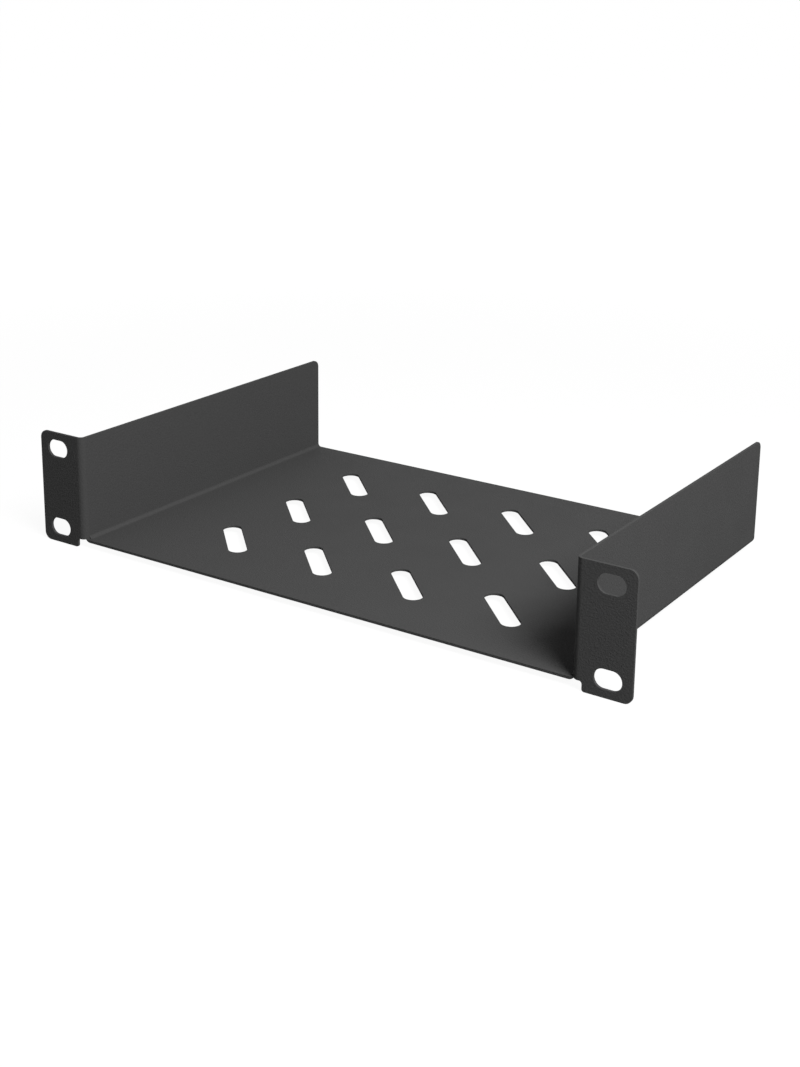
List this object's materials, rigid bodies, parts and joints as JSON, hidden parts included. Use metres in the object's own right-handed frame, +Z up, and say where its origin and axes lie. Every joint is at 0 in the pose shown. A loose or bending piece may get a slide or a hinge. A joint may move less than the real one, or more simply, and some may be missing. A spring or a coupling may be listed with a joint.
{
  "type": "rack shelf",
  "caption": "Cantilever shelf for a 10-inch rack: a slotted sheet-steel tray with side walls and slotted mounting ears, folded from one piece.",
  "frame": {"origin": "under the middle of the shelf, level with the ears' lower edges", "axes": "+X across the rack to the right as seen from the front, +Y from the ears to the rear edge, +Z up"},
  "size_m": [0.254, 0.15, 0.0444],
  "materials": {
    "powder_coat": "fine-textured black powder coat, matt"
  },
  "bodies": {
    "root": {"shelf": "powder_coat"}
  },
  "joints": []
}
